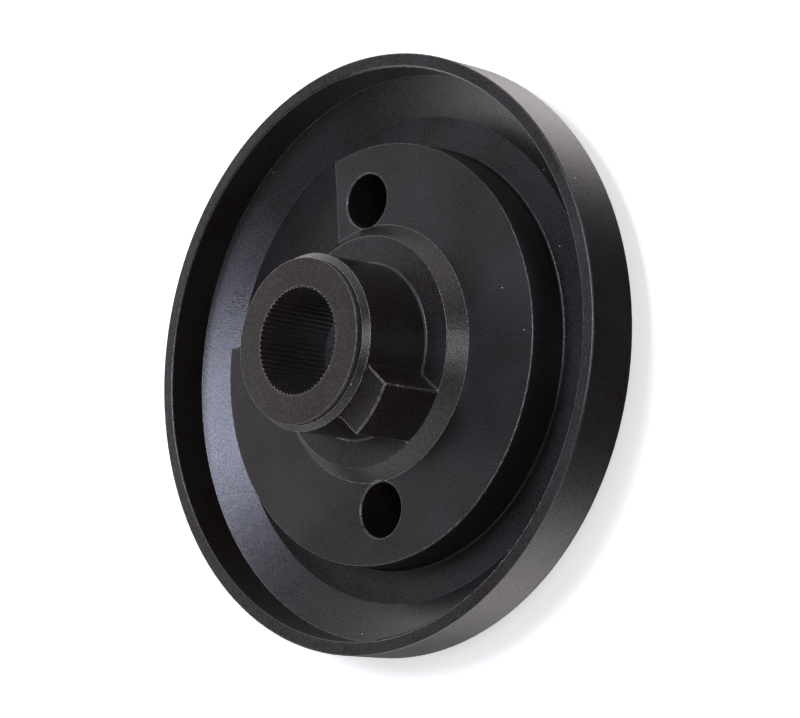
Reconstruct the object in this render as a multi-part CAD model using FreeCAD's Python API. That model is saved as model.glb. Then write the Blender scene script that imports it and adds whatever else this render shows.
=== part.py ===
"""Serrated winch hub: a dished, flanged hub with a drive lug and a finely serrated bore.

Units are millimetres. The hub stands on its flat back face at z = 0 with +Z along the bore axis,
towards the nose. +Y points through one of the two drive holes. The drive lug and the quarter
pocket lie opposite each other on the diagonal at -45 and 135 degrees.
"""
import FreeCAD, Part
import math
import os

V = FreeCAD.Vector
AXIS = V(0, 0, 1)
ORIGIN = V(0, 0, 0)
FOOT_STEPS = 6             # flats that make up the foot fillet round the barrel and lug

# ---- driving dimensions: dish ----
rim_diameter = 105.0
rim_height = 14.4          # back face to rim face
rim_wall = 2.5
rim_inner_depth = 7.4      # straight inner wall, measured down from the rim face
outer_band = 9.7           # straight outer wall, measured down from the rim face
web_thickness = 4.1        # floor of the dish above the back face
cone_width = 6.9           # radial width of the cone between the inner wall and the floor

# ---- driving dimensions: boss, pocket and pedestal ----
moat_width = 6.0           # floor left open between the cone and the boss
boss_height = 11.7         # back face to boss face
boss_foot_fillet = 0.5
pocket_offset = 7.55       # pocket walls stand this far from the two centre planes
pedestal_diameter = 45.3
pedestal_top_diameter = 40.6
pedestal_height = 14.5     # back face to pedestal top

# ---- driving dimensions: barrel and drive lug ----
barrel_diameter = 30.6
nose_height = 30.0         # back face to nose face, the overall height
collar_thickness = 0.35
ring_groove_width = 0.95
ring_groove_depth = 1.6
barrel_nose_chamfer = 1.0
lug_width = 10.5
lug_drop = 2.8             # lug face below the nose face
lug_angle = -45.0
lug_corner_fillet = 0.9
barrel_foot_fillet = 0.5
edge_break = 0.2           # on sharp outer edges
rim_edge_round = 0.35      # on the rim's two edges
edge_round = 0.8           # on the blunt edges of the back

# ---- driving dimensions: holes and bores ----
drive_hole_diameter = 9.7
drive_hole_count = 2
drive_hole_angle = 90.0
pin_hole_diameter = 3.7
pin_hole_radius = 30.8     # distance of the pin hole from the hub's axis
back_bore_clearance = 0.55 # back bore's wall outside the serrations' roots
bore_chamfer = 0.5

# ---- driving dimensions: serrated sleeve and retaining ring ----
sleeve_length = 15.6
serration_count = 66
serration_tip_diameter = 18.3
serration_depth = 0.32
serration_crest = 0.16     # width of each tooth's flat crest
serration_root = 0.16      # width of each gap's flat root
collar_round = 0.15        # on the nose's outer edge
ring_side_clearance = 0.05
ring_depth_clearance = 0.2
ring_section = 1.2         # radial width of the retaining ring
ring_gap_angle = 50.0
ring_gap_centre = 170.0

# ---- sizes that follow ----
rim_radius = rim_diameter / 2
rim_inner_radius = rim_radius - rim_wall
floor_outer_radius = rim_inner_radius - cone_width
boss_radius = floor_outer_radius - moat_width
pedestal_radius = pedestal_diameter / 2
pedestal_top_radius = pedestal_top_diameter / 2
drive_hole_circle = pedestal_diameter + drive_hole_diameter    # the holes just touch the pedestal's foot
barrel_radius = barrel_diameter / 2
collar_radius = barrel_radius - barrel_nose_chamfer
sleeve_radius = collar_radius - ring_groove_depth
serration_tip_radius = serration_tip_diameter / 2
serration_root_radius = serration_tip_radius + serration_depth
back_bore_radius = serration_root_radius + back_bore_clearance
barrel_height = nose_height - collar_thickness - ring_groove_width
lug_height = nose_height - lug_drop
sleeve_seat_height = nose_height - sleeve_length


def revolved(outline):
    """Solid of revolution about Z from a closed outline of (radius, height) corners.

    A corner written as (radius, height, size) is rounded by an arc of that radius.
    """
    corners = [V(corner[0], 0, corner[1]) for corner in outline]
    starts, ends, edges = [], [], []
    for index, corner in enumerate(outline):
        here = corners[index]
        before = (corners[index - 1] - here).normalize()
        after = (corners[(index + 1) % len(corners)] - here).normalize()
        reach = 0.0
        if len(corner) == 3:
            half_angle = before.getAngle(after) / 2
            reach = corner[2] / math.tan(half_angle)
            centre = here + (before + after).normalize() * (corner[2] / math.sin(half_angle))
            middle = centre + (here - centre).normalize() * corner[2]
            edges.append(Part.Arc(here + before * reach, middle, here + after * reach))
        starts.append(here + before * reach)
        ends.append(here + after * reach)
    for index in range(len(corners)):
        edges.append(Part.LineSegment(ends[index - 1], starts[index]))
    wire = Part.Wire(Part.__sortEdges__([edge.toShape() for edge in edges]))
    return Part.Face(wire).revolve(ORIGIN, AXIS, 360)


def hole(diameter, x, y, low, high, countersink=0.0):
    """Cutter for a round hole from low to high, with an edge break at its top end."""
    radius = diameter / 2
    tool = Part.makeCylinder(radius, high - low + 1, V(x, y, low - 1))
    if countersink:
        cone = Part.makeCone(radius, radius + 2 * countersink, 2 * countersink,
                             V(x, y, high - countersink))
        tool = tool.fuse(cone)
    return tool


def at_angle(radius, degrees):
    return radius * math.cos(math.radians(degrees)), radius * math.sin(math.radians(degrees))


def wall_break(height, along_x):
    """Cutter that bevels the boss face's edge along one straight wall of the pocket."""
    reach = boss_radius + 1
    section = [(pocket_offset, height - edge_break), (pocket_offset - 2 * edge_break, height + edge_break),
               (pocket_offset + 1, height + edge_break), (pocket_offset + 1, height - edge_break)]
    if along_x:
        corners = [V(-reach, offset, z) for offset, z in section]
        push = V(reach, 0, 0)
    else:
        corners = [V(-offset, 0, z) for offset, z in section]
        push = V(0, reach, 0)
    return Part.Face(Part.makePolygon(corners + corners[:1])).extrude(push)


def dish():
    """Back web, cone and rim, with the boss disc standing on the web and its quarter pocket cut."""
    taper = rim_height - outer_band
    cone_top = rim_height - rim_inner_depth
    solid = revolved([
        (back_bore_radius, bore_chamfer), (back_bore_radius + bore_chamfer, 0),
        (rim_radius - taper, 0, edge_round), (rim_radius, taper, edge_round),
        (rim_radius, rim_height, rim_edge_round), (rim_inner_radius, rim_height, rim_edge_round),
        (rim_inner_radius, cone_top), (floor_outer_radius, web_thickness),
        (boss_radius, web_thickness, boss_foot_fillet), (boss_radius, boss_height, edge_break),
        (back_bore_radius, boss_height)])
    reach = (boss_radius + boss_foot_fillet + floor_outer_radius) / 2
    quarter = Part.makeBox(reach, reach, boss_height, V(-pocket_offset - reach, pocket_offset, web_thickness))
    pocket = quarter.common(Part.makeCylinder(reach, boss_height, V(0, 0, web_thickness)))
    for cutter in (pocket, wall_break(boss_height, True), wall_break(boss_height, False)):
        solid = solid.cut(cutter)
    return solid


def pedestal():
    """Round pedestal on the boss, with a wide chamfer and broken edges."""
    return revolved([
        (back_bore_radius, web_thickness / 2), (pedestal_radius, web_thickness / 2),
        (pedestal_radius, boss_height, edge_break), (pedestal_top_radius, pedestal_height, edge_break),
        (back_bore_radius, pedestal_height)])


def lug_outline(height, grow=0.0, shrink=0.0):
    """Closed wire round the barrel and its lug at one height, lug along +X.

    grow offsets the barrel and the lug's sides outwards for the foot fillet. shrink pulls in the
    lug's free edges for its bevelled face. The lug's outer face keeps the pedestal top's radius.
    """
    radius = barrel_radius + grow
    half = lug_width / 2 + grow - shrink
    fillet = lug_corner_fillet - grow
    outer = pedestal_top_radius - shrink
    centre_x = math.sqrt((radius + fillet) ** 2 - (half + fillet) ** 2)
    touch = radius / (radius + fillet)
    touch_x, touch_y = centre_x * touch, (half + fillet) * touch
    corner_x = math.sqrt(outer ** 2 - (half - edge_break) ** 2)
    side_x = corner_x - edge_break
    middle_angle = (math.pi + math.atan2(touch_y, touch_x)) / 2
    lean = math.atan2(centre_x - touch_x, half + fillet - touch_y) / 2

    def point(x, y):
        return V(x, y, height)

    fillet_x = centre_x - fillet * math.sin(lean)
    fillet_y = half + fillet - fillet * math.cos(lean)
    edges = [
        Part.Arc(point(touch_x, touch_y), point(radius * math.cos(middle_angle), radius * math.sin(middle_angle)),
                 point(-radius, 0)),
        Part.Arc(point(-radius, 0), point(radius * math.cos(middle_angle), -radius * math.sin(middle_angle)),
                 point(touch_x, -touch_y)),
        Part.Arc(point(touch_x, -touch_y), point(fillet_x, -fillet_y), point(centre_x, -half)),
        Part.LineSegment(point(centre_x, -half), point(side_x, -half)),
        Part.LineSegment(point(side_x, -half), point(corner_x, edge_break - half)),
        Part.Arc(point(corner_x, edge_break - half), point(outer, 0), point(corner_x, half - edge_break)),
        Part.LineSegment(point(corner_x, half - edge_break), point(side_x, half)),
        Part.LineSegment(point(side_x, half), point(centre_x, half)),
        Part.Arc(point(centre_x, half), point(fillet_x, fillet_y), point(touch_x, touch_y))]
    return Part.Wire([edge.toShape() for edge in edges])


def barrel():
    """Barrel with its drive lug, foot fillet and nose chamfer."""
    fillet = barrel_foot_fillet
    rings = []
    for step in range(FOOT_STEPS + 1):
        turn = math.pi / 2 * step / FOOT_STEPS
        rings.append(lug_outline(pedestal_height + fillet * (1 - math.cos(turn)),
                                 grow=fillet * (1 - math.sin(turn))))
    rings.append(lug_outline(lug_height - edge_break))
    rings.append(lug_outline(lug_height, shrink=edge_break))
    solid = Part.makeLoft(rings, True, True)
    round_part = revolved([
        (0, web_thickness), (barrel_radius, web_thickness),
        (barrel_radius, barrel_height - barrel_nose_chamfer), (collar_radius, barrel_height),
        (0, barrel_height)])
    solid = solid.fuse(round_part)
    solid.rotate(ORIGIN, AXIS, lug_angle)
    return solid


def hub_body():
    """One machined piece: dish, pedestal, barrel and lug, bored and drilled."""
    solid = dish().fuse([pedestal(), barrel()])
    cutters = [
        Part.makeCylinder(back_bore_radius, nose_height, V(0, 0, -1)),
        Part.makeCylinder(sleeve_radius, nose_height, V(0, 0, sleeve_seat_height))]
    for index in range(drive_hole_count):
        x, y = at_angle(drive_hole_circle / 2, drive_hole_angle + index * 360 / drive_hole_count)
        cutters.append(hole(drive_hole_diameter, x, y, 0, boss_height, edge_break))
    x, y = at_angle(pin_hole_radius, lug_angle + 180)
    cutters.append(hole(pin_hole_diameter, x, y, 0, web_thickness, edge_break))
    for cutter in cutters:
        solid = solid.cut(cutter)
    return solid.removeSplitter()


def serration_prism(low, high):
    """Prism whose section is the serrated bore: flat crests and roots joined by straight flanks."""
    pitch = 2 * math.pi / serration_count
    half_crest = serration_crest / 2 / serration_tip_radius
    half_root = serration_root / 2 / serration_root_radius
    corners = []
    for tooth in range(serration_count):
        middle = tooth * pitch
        for radius, angle in ((serration_tip_radius, middle - half_crest),
                              (serration_tip_radius, middle + half_crest),
                              (serration_root_radius, middle + pitch / 2 - half_root),
                              (serration_root_radius, middle + pitch / 2 + half_root)):
            corners.append(V(radius * math.cos(angle), radius * math.sin(angle), low))
    wire = Part.makePolygon(corners + corners[:1])
    return Part.Face(wire).extrude(V(0, 0, high - low))


def serrated_sleeve():
    """Sleeve pressed into the barrel, with the serrated bore and the collar of the nose."""
    collar_foot = nose_height - collar_thickness
    blank = revolved([
        (0, sleeve_seat_height), (sleeve_radius, sleeve_seat_height),
        (sleeve_radius, collar_foot), (collar_radius, collar_foot), (collar_radius, nose_height, collar_round),
        (0, nose_height)])
    return blank.cut(serration_prism(sleeve_seat_height - 1, nose_height + 1))


def retaining_ring():
    """Open snap ring seated in the groove behind the collar, its gap on the far side from the lug."""
    outer = collar_radius - ring_depth_clearance
    low = barrel_height + ring_side_clearance
    high = nose_height - collar_thickness - ring_side_clearance
    inner = outer - ring_section
    section = Part.makePolygon([V(inner, 0, low), V(outer, 0, low), V(outer, 0, high), V(inner, 0, high),
                                V(inner, 0, low)])
    ring = Part.Face(section).revolve(ORIGIN, AXIS, 360 - ring_gap_angle)
    ring.rotate(ORIGIN, AXIS, ring_gap_centre + ring_gap_angle / 2)
    return ring


if __name__ == "__main__":
    os.makedirs("parts", exist_ok=True)
    nodes = {"hub_body": hub_body(), "serrated_sleeve": serrated_sleeve(), "retaining_ring": retaining_ring()}
    for name, shape in nodes.items():
        box = shape.optimalBoundingBox(False)
        print(f"{name}: {len(shape.Solids)} solid, valid {shape.isValid()}, volume {shape.Volume:.1f} mm3, "
              f"faces {len(shape.Faces)}, {box.XLength:.2f} x {box.YLength:.2f} x {box.ZLength:.2f} mm")
        shape.exportStep(f"parts/{name}.step")
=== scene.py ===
# %% [markdown]
# # A serrated winch hub, bead-blasted and anodised black
#
# The hub is a dished flange turned from one blank, with a raised boss, a chamfered pedestal, a
# barrel with one drive lug, and a bore full of fine serrations. It stands on its flat back face.
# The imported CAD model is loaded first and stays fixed. Everything here is in metres, in the same
# frame as the CAD: +Z runs along the bore towards the nose.

# %% Load the frame and note its size
import math

import bpy
import numpy as np
from mathutils import Matrix, Vector


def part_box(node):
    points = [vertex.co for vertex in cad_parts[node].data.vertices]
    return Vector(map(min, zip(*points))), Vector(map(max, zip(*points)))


MM = 0.001

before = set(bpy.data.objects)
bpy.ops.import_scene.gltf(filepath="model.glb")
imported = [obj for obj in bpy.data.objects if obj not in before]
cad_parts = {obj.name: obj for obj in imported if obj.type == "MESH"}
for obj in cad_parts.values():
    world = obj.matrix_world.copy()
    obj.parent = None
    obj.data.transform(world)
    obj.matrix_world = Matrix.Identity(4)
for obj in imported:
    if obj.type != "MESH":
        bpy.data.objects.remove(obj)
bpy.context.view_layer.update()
hub_low, hub_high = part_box("hub_body")
nose_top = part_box("serrated_sleeve")[1][2]
rim_width = hub_high[0] - hub_low[0]
print("rim", round(rim_width / MM, 2), "mm across, nose at", round(nose_top / MM, 2), "mm")

# %% [markdown]
# ## Camera
#
# A product picture of a round part reads best from about 45 degrees above its rim, with a long
# lens, so that its circles stay close to true ellipses. The camera could be keyed in as a matrix,
# but five plain values say more: the point it aims at, an azimuth, an elevation, a distance and a
# roll. The roll turns the picture until the bore points to the left.

# %% Camera
VIEW_AIM = Vector((8.94, -2.93, 14.4)) * MM
VIEW_AZIMUTH = math.radians(-17.1)
VIEW_ELEVATION = math.radians(44.88)
VIEW_ROLL = math.radians(80.44)
VIEW_DISTANCE = 478.4 * MM
LENS_MM = 126.0
SENSOR_MM = 36.0
CLIP_START = 10 * MM


def polar(azimuth, elevation):
    """Unit vector: (cos el cos az, cos el sin az, sin el)."""
    flat = math.cos(elevation)
    return Vector((flat * math.cos(azimuth), flat * math.sin(azimuth), math.sin(elevation)))


def facing(toward):
    """4x4 turn that points an object's +Z along toward, as lights and cameras look along -Z."""
    return toward.to_track_quat("Z", "Y").to_matrix().to_4x4()


def make_camera():
    toward = polar(VIEW_AZIMUTH, VIEW_ELEVATION)
    data = bpy.data.cameras.new("hub_camera")
    data.lens = LENS_MM
    data.sensor_width = SENSOR_MM
    data.clip_start = CLIP_START
    camera = bpy.data.objects.new("hub_camera", data)
    bpy.context.collection.objects.link(camera)
    turn = facing(toward) @ Matrix.Rotation(-VIEW_ROLL, 4, "Z")
    camera.matrix_world = Matrix.Translation(VIEW_AIM + toward * VIEW_DISTANCE) @ turn
    return camera


bpy.context.scene.camera = make_camera()
print("camera at", [round(v, 4) for v in bpy.context.scene.camera.matrix_world.translation])

# %% [markdown]
# ## Floor
#
# The hub rests on a plain pale sheet. It could be a curved backdrop, but from this height one flat
# sheet fills the whole view. The walls of a black part act as soft mirrors, so the sheet is left out
# of their reflections: they show the room round it instead, which is dark on one side. A black disc
# lies under the back face, out of sight, so that the drive holes look down into the dark, and a pale
# one on it lies under the bore, which lets a little light in from below. Both discs are a stage
# trick: they stand for light and shade under the hub, not for anything that is there.

# %% Floor
FLOOR_GAP = 0.06 * MM
FLOOR_HALF = 2.0
FLOOR_GLOW = 0.42
DARK_GAP = 0.04 * MM
DARK_RADIUS = 45 * MM
DARK_GLOW = 0.005
PALE_GAP = 0.02 * MM
PALE_RADIUS = 12 * MM
PALE_GLOW = 0.28
DISC_SIDES = 96


def flat_sheet(name, corners, height, grey, glow):
    """Flat matt polygon at one height, with an even grey and a glow of its own."""
    material = bpy.data.materials.new(name)
    material.use_nodes = True
    shader = material.node_tree.nodes["Principled BSDF"].inputs
    shader["Base Color"].default_value = (grey, grey, grey, 1)
    shader["Roughness"].default_value = 1.0
    shader["Specular IOR Level"].default_value = 0.0
    shader["Emission Color"].default_value = (1.0, 1.0, 1.0, 1)
    shader["Emission Strength"].default_value = glow
    mesh = bpy.data.meshes.new(name)
    mesh.from_pydata([(x, y, height) for x, y in corners], [], [range(len(corners))])
    mesh.materials.append(material)
    sheet = bpy.data.objects.new(name, mesh)
    bpy.context.collection.objects.link(sheet)
    return sheet


def circle(radius):
    """Corners of a round disc about the bore's axis."""
    turns = [2 * math.pi * side / DISC_SIDES for side in range(DISC_SIDES)]
    return [(radius * math.cos(turn), radius * math.sin(turn)) for turn in turns]


square = [(FLOOR_HALF * x, FLOOR_HALF * y) for x, y in ((-1, -1), (1, -1), (1, 1), (-1, 1))]
floor = flat_sheet("floor", square, -FLOOR_GAP, grey=0.9, glow=FLOOR_GLOW)
floor.visible_glossy = False
flat_sheet("dark_disc", circle(DARK_RADIUS), -DARK_GAP, grey=0.03, glow=DARK_GLOW)
flat_sheet("pale_disc", circle(PALE_RADIUS), -PALE_GAP, grey=0.9, glow=PALE_GLOW)
print("floor", 2 * FLOOR_HALF, "m square,", FLOOR_GAP / MM, "mm under the back face")

# %% [markdown]
# ## Light
#
# Black metal has almost no colour of its own: it is seen by what it mirrors. So each softbox stands
# where one group of faces looks for it. The key makes the cone glow, the one beside the camera
# draws the chamfers, and a long bank behind the hub gives the flat faces their even tone. A softbox
# is set here by its radiance, the brightness of its own face, because that is what a mirror shows.
# Its power then follows: radiance x pi x area.

# %% Softboxes
LIGHT_AIM = Vector((0, 0, 0.5 * nose_top))
LIGHT_DISTANCE = 0.9


def softbox(name, azimuth, elevation, size, radiance, colour):
    """Rectangular area light on a sphere round the hub, facing it, with a given radiance."""
    toward = polar(math.radians(azimuth), math.radians(elevation))
    data = bpy.data.lights.new(name, "AREA")
    data.shape = "RECTANGLE"
    data.size, data.size_y = size
    data.energy = radiance * math.pi * size[0] * size[1]
    data.color = colour
    lamp = bpy.data.objects.new(name, data)
    bpy.context.collection.objects.link(lamp)
    lamp.matrix_world = Matrix.Translation(LIGHT_AIM + toward * LIGHT_DISTANCE) @ facing(toward)
    print(f"{name}: {data.energy:.2f} W")


softbox("key", azimuth=102, elevation=75, size=(0.33, 0.33), radiance=19.5, colour=(0.73, 0.77, 1.0))
softbox("beside_camera", azimuth=2, elevation=40, size=(0.30, 0.30), radiance=7.0,
        colour=(0.93, 0.95, 1.0))
softbox("bank_behind", azimuth=174, elevation=14, size=(1.0, 0.52), radiance=2.35,
        colour=(0.97, 0.97, 1.0))

# %% [markdown]
# ## Node helpers
#
# The finishes below are built from small node groups. Writing them by hand takes many lines of the
# same kind, so a few helpers do the repeating. One makes a node and fills its sockets, with either a
# plain value or another node's output, and three more make the nodes that come up most: a sum or
# product, a smooth step and a noise. The last ones make an empty group with named inputs and
# outputs, put a group to use, and say what it gives.

# %% Node helpers
FLOAT = "NodeSocketFloat"


def node(tree, kind, inputs=(), **settings):
    """New node in tree. inputs maps a socket's name or number to a value or to an output socket."""
    made = tree.nodes.new(kind)
    for name, value in settings.items():
        setattr(made, name, value)
    for key, value in dict(inputs).items():
        if isinstance(value, bpy.types.NodeSocket):
            tree.links.new(value, made.inputs[key])
        else:
            made.inputs[key].default_value = value
    return made


def calc(tree, operation, *values):
    """Output of a Math node over the given values or sockets."""
    return node(tree, "ShaderNodeMath", enumerate(values), operation=operation).outputs[0]


def step_up(tree, value, low, high):
    """Smooth step: 0 below low, 1 above high."""
    inputs = {"Value": value, "From Min": low, "From Max": high}
    return node(tree, "ShaderNodeMapRange", inputs, interpolation_type="SMOOTHSTEP").outputs["Result"]


def noise(tree, where, scale, detail, roughness=0.5):
    """Noise from 0 to 1 over a position, with scale in features per unit."""
    inputs = {"Vector": where, "Scale": scale, "Detail": detail, "Roughness": roughness}
    return node(tree, "ShaderNodeTexNoise", inputs).outputs["Fac"]


def new_group(name, inputs, outputs):
    """Empty shader node group: inputs is {name: default} and outputs is a list of names."""
    group = bpy.data.node_groups.new(name, "ShaderNodeTree")
    for label, default in inputs.items():
        socket = group.interface.new_socket(label, in_out="INPUT", socket_type=FLOAT)
        socket.default_value = default
    for label in outputs:
        group.interface.new_socket(label, in_out="OUTPUT", socket_type=FLOAT)
    return group, group.nodes.new("NodeGroupInput").outputs, group.nodes.new("NodeGroupOutput").inputs


def place(tree, group, inputs=()):
    """Put a node group into tree and return its output sockets."""
    return node(tree, "ShaderNodeGroup", inputs, node_tree=group).outputs


def say(group):
    """Print what a node group gives and how many nodes it took."""
    gives = [item.name for item in group.interface.items_tree if item.in_out == "OUTPUT"]
    print(f"{group.name}: {len(group.nodes)} nodes, gives {', '.join(gives)}")


# %% [markdown]
# ## Room
#
# The rest of the studio is a pale room, brighter towards its two side walls and most of all low
# down there, and dark overhead and on the camera's side. It could be an image, but for such a
# blasted surface a few smooth steps over the direction are enough, and they need no file. Each step
# is a pair: the part of the unit direction where it begins, and the one where it ends.

# %% Room
ROOM_TINT = (1.0, 0.96, 0.95, 1)
ROOM_DARK_SIDE = Vector((0.65, 0.05, -0.76))
ROOM_PALE = 0.40
BELOW_SHADE = 0.50         # taken from the pale room below the floor's level
SIDE_WALLS = 1.00          # added by the side walls above the floor's level
SIDE_WALLS_LOW = 2.2       # and below it
CEILING_SHADE = 0.65       # taken from the whole room overhead
LOWER_WALL_SHARE = 1.05    # the wall on the -Y side, against the one on the +Y side
PLUS_WALL_STEP = (0.40, 0.70)
MINUS_WALL_STEP = (0.47, 0.67)
DOWNWARD_STEP = (-0.1, 0.3)
DARK_SIDE_STEP = (0.5, 0.93)
CEILING_STEP = (0.30, 0.80)


def make_room():
    world = bpy.data.worlds.new("studio")
    world.use_nodes = True
    tree = world.node_tree
    direction = node(tree, "ShaderNodeTexCoord").outputs["Generated"]
    part = node(tree, "ShaderNodeSeparateXYZ", {0: direction}).outputs
    toward_dark = node(tree, "ShaderNodeVectorMath", {0: direction, 1: ROOM_DARK_SIDE.normalized()},
                       operation="DOT_PRODUCT").outputs["Value"]
    plus_wall = step_up(tree, part["Y"], *PLUS_WALL_STEP)
    minus_wall = step_up(tree, calc(tree, "MULTIPLY", part["Y"], -1.0), *MINUS_WALL_STEP)
    side = calc(tree, "ADD", plus_wall, calc(tree, "MULTIPLY", minus_wall, LOWER_WALL_SHARE))
    low = step_up(tree, calc(tree, "MULTIPLY", part["Z"], -1.0), *DOWNWARD_STEP)
    more_below = calc(tree, "MULTIPLY", low, SIDE_WALLS_LOW - SIDE_WALLS)
    side_glow = calc(tree, "ADD", SIDE_WALLS, more_below)
    kept_below = calc(tree, "SUBTRACT", 1.0, calc(tree, "MULTIPLY", low, BELOW_SHADE))
    plain = calc(tree, "MULTIPLY", ROOM_PALE, kept_below)
    pale = calc(tree, "ADD", plain, calc(tree, "MULTIPLY", side, side_glow))
    lit = calc(tree, "SUBTRACT", 1.0, step_up(tree, toward_dark, *DARK_SIDE_STEP))
    overhead = calc(tree, "MULTIPLY", step_up(tree, part["Z"], *CEILING_STEP), CEILING_SHADE)
    kept_overhead = calc(tree, "SUBTRACT", 1.0, overhead)
    seen = calc(tree, "MULTIPLY", calc(tree, "MULTIPLY", pale, lit), kept_overhead)
    tree.links.new(seen, tree.nodes["Background"].inputs["Strength"])
    tree.nodes["Background"].inputs["Color"].default_value = ROOM_TINT
    return world


bpy.context.scene.world = make_room()
bpy.context.scene.view_settings.view_transform = "Standard"
print("room radiance", ROOM_PALE, "and at its side walls", SIDE_WALLS, "to", SIDE_WALLS_LOW, "more")

# %% [markdown]
# ## Bead-blasted grain
#
# Glass beads leave the metal covered in shallow round dimples, about a quarter of a millimetre
# across here, over a gentler unevenness and slow patches where the nozzle dwelt. Real dimples could
# be displaced, but they are far finer than the mesh, so they are a height for a Bump node. The
# dimples and the patches are also given out as masks, which vary the tone, the roughness and the
# shine of each finish. Everything reads Object coordinates, so it stays on the metal.

# %% Grain group
COARSE_MM = 1.1            # size of the gentler unevenness
COARSE_SHARE = 0.5         # its height, against the dimples'
PATCH_MM = 16


def grain_group():
    group, given, result = new_group(
        "blasted_grain", {"Dimple mm": 0.2, "Depth mm": 0.01}, ["Height", "Mask", "Patches"])
    on_metal = node(group, "ShaderNodeTexCoord").outputs["Object"]
    per_metre = calc(group, "DIVIDE", 1 / MM, given["Dimple mm"])
    dimples = noise(group, on_metal, per_metre, detail=2.0, roughness=0.7)
    coarse = noise(group, on_metal, 1 / (COARSE_MM * MM), detail=2.0, roughness=0.55)
    patches = noise(group, on_metal, 1 / (PATCH_MM * MM), detail=3.0, roughness=0.6)
    depth = calc(group, "MULTIPLY", given["Depth mm"], MM)
    mixed = calc(group, "ADD", dimples, calc(group, "MULTIPLY", coarse, COARSE_SHARE))
    group.links.new(calc(group, "MULTIPLY", mixed, depth), result["Height"])
    group.links.new(dimples, result["Mask"])
    group.links.new(patches, result["Patches"])
    return group


GRAIN = grain_group()
say(GRAIN)

# %% [markdown]
# ## Turning marks
#
# The blank was turned before it was blasted, and the tool's path still shows faintly as rings round
# the bore's axis. A spiral groove could be cut in the mesh, but it is only a few micrometres deep.
# The rings are a noise that reads just one number, the distance from the axis plus the height, so
# that they also run round walls. They fade in and out with a slow noise, as blasting never covers
# them evenly.

# %% Turning group
FADE_MM = 9
FADE_STEP = (0.35, 0.65)


def turning_group():
    group, given, result = new_group("turning_marks", {"Pitch mm": 0.4, "Depth mm": 0.001}, ["Height"])
    on_metal = node(group, "ShaderNodeTexCoord").outputs["Object"]
    along = node(group, "ShaderNodeSeparateXYZ", {0: on_metal}).outputs
    out = calc(group, "SQRT", calc(group, "ADD", calc(group, "POWER", along["X"], 2.0),
                                   calc(group, "POWER", along["Y"], 2.0)))
    travel = calc(group, "DIVIDE", calc(group, "ADD", out, along["Z"]), MM)
    turns = calc(group, "DIVIDE", travel, given["Pitch mm"])
    ring_place = node(group, "ShaderNodeCombineXYZ", {"X": turns}).outputs[0]
    rings = noise(group, ring_place, 1.0, detail=1.0)
    fading = noise(group, on_metal, 1 / (FADE_MM * MM), detail=1.0)
    shown = calc(group, "MULTIPLY", rings, step_up(group, fading, *FADE_STEP))
    depth = calc(group, "MULTIPLY", given["Depth mm"], MM)
    group.links.new(calc(group, "MULTIPLY", shown, depth), result["Height"])
    return group


TURNING = turning_group()
say(TURNING)

# %% [markdown]
# ## Worn edges, with a painted highlight, and specks
#
# Anodising is thin on sharp edges and handling polishes them, so each edge of a black part carries a
# hairline of paler metal. The same pale hairline also paints the highlight that a small rounded edge
# catches from the lights, so it is partly real wear and partly a painted highlight. The mesh could
# carry a painted mask, but the Bevel node finds the edges by itself: it gives the normal that a
# rounded edge would have, and where that differs from the true normal there is an edge. Inside
# corners are no edges to rub, so a short look round at what covers the spot leaves them out, and
# keeps the painted highlight off them too. Below a given height, as deep in a bore, only a fifth of
# the pale line is left. A few bright specks are scattered too, left by beads that bit through.

# %% Edge wear and painted highlight group
DEEP_SHARE = 0.2           # wear left below the given height
EDGE_STEP = (0.02, 0.14)   # lean of the rounded normal, from no edge to a full edge
LOOK_ROUND = 1.5           # reach of the look round, in edge widths
OPEN_STEP = (0.5, 1.0)     # how open the spot is, from an inside corner to an outer edge
BROKEN_MM = 0.7            # size of the breaks in the worn line
BROKEN_STEP = (0.25, 0.6)
SPECK_CELL_MM = 2.2        # one speck at most in each cell of this size
SPECK_CHOSEN = 0.93        # and only where the cell's random value is above this
SPECK_RADIUS = 0.045       # in cells


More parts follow.
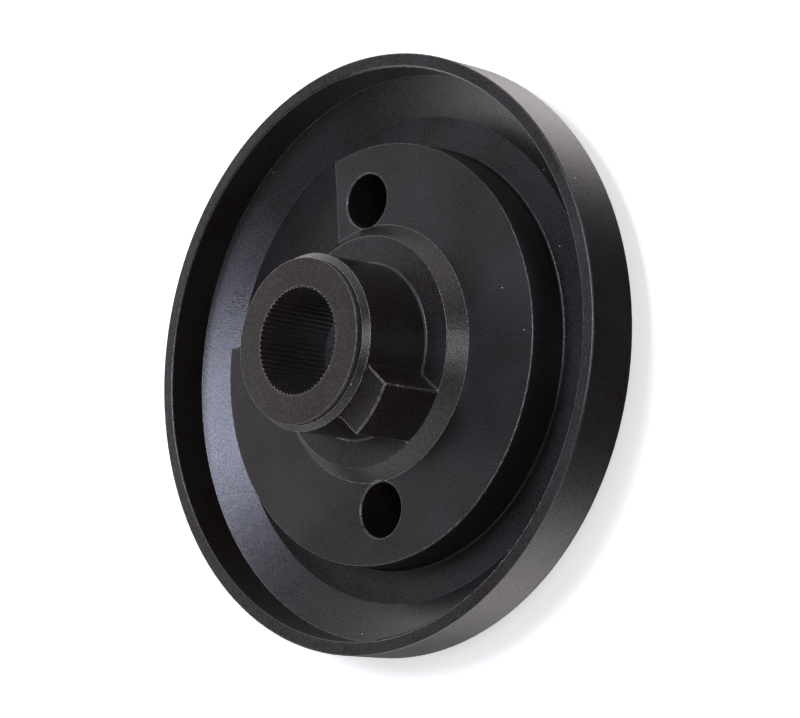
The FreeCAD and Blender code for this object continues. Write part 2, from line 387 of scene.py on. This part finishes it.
def wear_and_highlight_group():
    group, given, result = new_group(
        "edge_wear_and_highlight", {"Width mm": 0.2, "Amount": 0.5, "Specks": 0.5, "From mm": 0.0}, ["Mask"])
    on_metal = node(group, "ShaderNodeTexCoord").outputs["Object"]
    width = calc(group, "MULTIPLY", given["Width mm"], MM)
    rounded = node(group, "ShaderNodeBevel", {"Radius": width}, samples=4).outputs["Normal"]
    true = node(group, "ShaderNodeNewGeometry").outputs["Normal"]
    same = node(group, "ShaderNodeVectorMath", {0: rounded, 1: true},
                operation="DOT_PRODUCT").outputs["Value"]
    edge = step_up(group, calc(group, "SUBTRACT", 1.0, same), *EDGE_STEP)
    reach = calc(group, "MULTIPLY", width, LOOK_ROUND)
    around = node(group, "ShaderNodeAmbientOcclusion", {"Distance": reach},
                  samples=2, only_local=True).outputs["AO"]
    lowest = calc(group, "MULTIPLY", given["From mm"], MM)
    height = node(group, "ShaderNodeSeparateXYZ", {0: on_metal}).outputs["Z"]
    height_share = calc(group, "MAXIMUM", calc(group, "GREATER_THAN", height, lowest), DEEP_SHARE)
    open_edge = calc(group, "MULTIPLY", step_up(group, around, *OPEN_STEP), height_share)
    broken = noise(group, on_metal, 1 / (BROKEN_MM * MM), detail=3.0)
    patchy = calc(group, "MULTIPLY", step_up(group, broken, *BROKEN_STEP), given["Amount"])
    # Pale edge line: partly worn metal, partly a painted highlight; only a fifth of it below the given
    # height.
    worn_and_lit = calc(group, "MULTIPLY", calc(group, "MULTIPLY", edge, open_edge), patchy)
    cell = node(group, "ShaderNodeTexVoronoi", {"Vector": on_metal, "Scale": 1 / (SPECK_CELL_MM * MM)})
    cell_value = node(group, "ShaderNodeSeparateColor", {0: cell.outputs["Color"]}).outputs[0]
    chosen = calc(group, "GREATER_THAN", cell_value, SPECK_CHOSEN)
    dot = calc(group, "LESS_THAN", cell.outputs["Distance"], SPECK_RADIUS)
    specks = calc(group, "MULTIPLY", calc(group, "MULTIPLY", dot, chosen), given["Specks"])
    group.links.new(calc(group, "MAXIMUM", worn_and_lit, specks), result["Mask"])
    return group


WEAR_AND_HIGHLIGHT = wear_and_highlight_group()
say(WEAR_AND_HIGHLIGHT)

# %% [markdown]
# ## The three finishes
#
# All three pieces are black, but not the same black. The hub is aluminium under a dyed anodic film:
# a clear oxide over a dark ground, slightly blue where it is lit and brownish in the shade. The
# sleeve's steel is blasted and chemically blackened, a little browner and a little duller. The snap
# ring is black spring steel, the dullest of the three. One function makes them from the same groups
# with their own values. The grain varies three things at once: the tone between two near blacks, the
# roughness, and the strength of the shine.

# %% Colour mix
def mix_colour(tree, amount, first, second):
    """Blend of two colours: first at amount 0, second at 1. Each is a value or a socket."""
    made = node(tree, "ShaderNodeMix", {0: amount, 6: first, 7: second}, data_type="RGBA")
    return made.outputs[2]


# %% Black finish
COATING_IOR = 1.5
MOTTLE_SHARE = 0.5         # dimples and patches count for half each
MOTTLE_MIDDLE = 0.5
GRAIN_STEP = (0.38, 0.62)  # the part of the noise's range that makes the contrast
SHINE_LEAST = 0.33
SHINE_SPREAD = 0.30
ROUGH_SPREAD = 0.25
WORN_SMOOTHER = 0.1


def black_finish(name, shade, sheen, bare_and_highlight, roughness, grain, turning, wear_and_highlight):
    """Coated black metal. shade and sheen are its two tones, and bare_and_highlight is the pale tone
    of an edge: partly worn metal, partly a painted highlight.

    grain, turning and wear_and_highlight are the inputs of the three groups, by their names.
    """
    material = bpy.data.materials.new(name)
    material.use_nodes = True
    tree = material.node_tree
    shader = tree.nodes["Principled BSDF"].inputs
    shader["Metallic"].default_value = 0.0
    shader["IOR"].default_value = COATING_IOR
    blasted = place(tree, GRAIN, grain)
    rings = place(tree, TURNING, turning)
    edge = place(tree, WEAR_AND_HIGHLIGHT, wear_and_highlight)
    mottle = calc(tree, "ADD", calc(tree, "MULTIPLY", blasted["Mask"], MOTTLE_SHARE),
                  calc(tree, "MULTIPLY", blasted["Patches"], MOTTLE_SHARE))
    tone = mix_colour(tree, step_up(tree, mottle, *GRAIN_STEP), (*shade, 1), (*sheen, 1))
    # The edge mask lays a pale tone on the edges: partly worn metal, partly a painted highlight.
    tree.links.new(mix_colour(tree, edge["Mask"], tone, (*bare_and_highlight, 1)), shader["Base Color"])
    glint = calc(tree, "MULTIPLY", step_up(tree, blasted["Mask"], *GRAIN_STEP), SHINE_SPREAD)
    tree.links.new(calc(tree, "ADD", SHINE_LEAST, glint), shader["Specular IOR Level"])
    uneven = calc(tree, "MULTIPLY", calc(tree, "SUBTRACT", mottle, MOTTLE_MIDDLE), ROUGH_SPREAD)
    rough = calc(tree, "ADD", roughness, uneven)
    polished = calc(tree, "MULTIPLY", edge["Mask"], WORN_SMOOTHER)
    tree.links.new(calc(tree, "SUBTRACT", rough, polished), shader["Roughness"])
    height = calc(tree, "ADD", blasted["Height"], rings["Height"])
    relief = node(tree, "ShaderNodeBump", {"Height": height, "Distance": 1.0, "Strength": 1.0})
    tree.links.new(relief.outputs["Normal"], shader["Normal"])
    print(f"{name}: roughness {roughness}, dimples {grain['Dimple mm']} mm across")
    return material


def dress(node_name, material):
    """Give a CAD node one material in its first slot."""
    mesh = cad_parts[node_name].data
    mesh.materials.clear()
    mesh.materials.append(material)


# %% Anodised aluminium hub
dress("hub_body", black_finish(
    "black_anodised",
    # The pale edge tone is partly worn metal and partly a painted highlight.
    shade=(0.008, 0.005, 0.004), sheen=(0.012, 0.010, 0.011), bare_and_highlight=(0.62, 0.60, 0.62),
    roughness=0.29,
    grain={"Dimple mm": 0.26, "Depth mm": 0.034},
    turning={"Pitch mm": 0.45, "Depth mm": 0.003},
    wear_and_highlight={"Width mm": 0.24, "Amount": 0.60, "Specks": 0.9, "From mm": 0.0}))

# %% Blackened steel sleeve
dress("serrated_sleeve", black_finish(
    "blackened_steel",
    # The pale edge tone is partly worn metal and partly a painted highlight.
    shade=(0.012, 0.007, 0.005), sheen=(0.016, 0.012, 0.011), bare_and_highlight=(0.62, 0.58, 0.60),
    roughness=0.32,
    grain={"Dimple mm": 0.26, "Depth mm": 0.030},
    turning={"Pitch mm": 0.30, "Depth mm": 0.0025},
    wear_and_highlight={"Width mm": 0.22, "Amount": 0.50, "Specks": 0.6, "From mm": 29.6}))

# %% Spring steel ring
dress("retaining_ring", black_finish(
    "oiled_spring_steel",
    # The pale edge tone is partly worn metal and partly a painted highlight.
    shade=(0.006, 0.005, 0.005), sheen=(0.010, 0.009, 0.009), bare_and_highlight=(0.10, 0.09, 0.09),
    roughness=0.62,
    grain={"Dimple mm": 0.15, "Depth mm": 0.004},
    turning={"Pitch mm": 0.12, "Depth mm": 0.0010},
    wear_and_highlight={"Width mm": 0.05, "Amount": 0.2, "Specks": 0.0, "From mm": 0.0}))
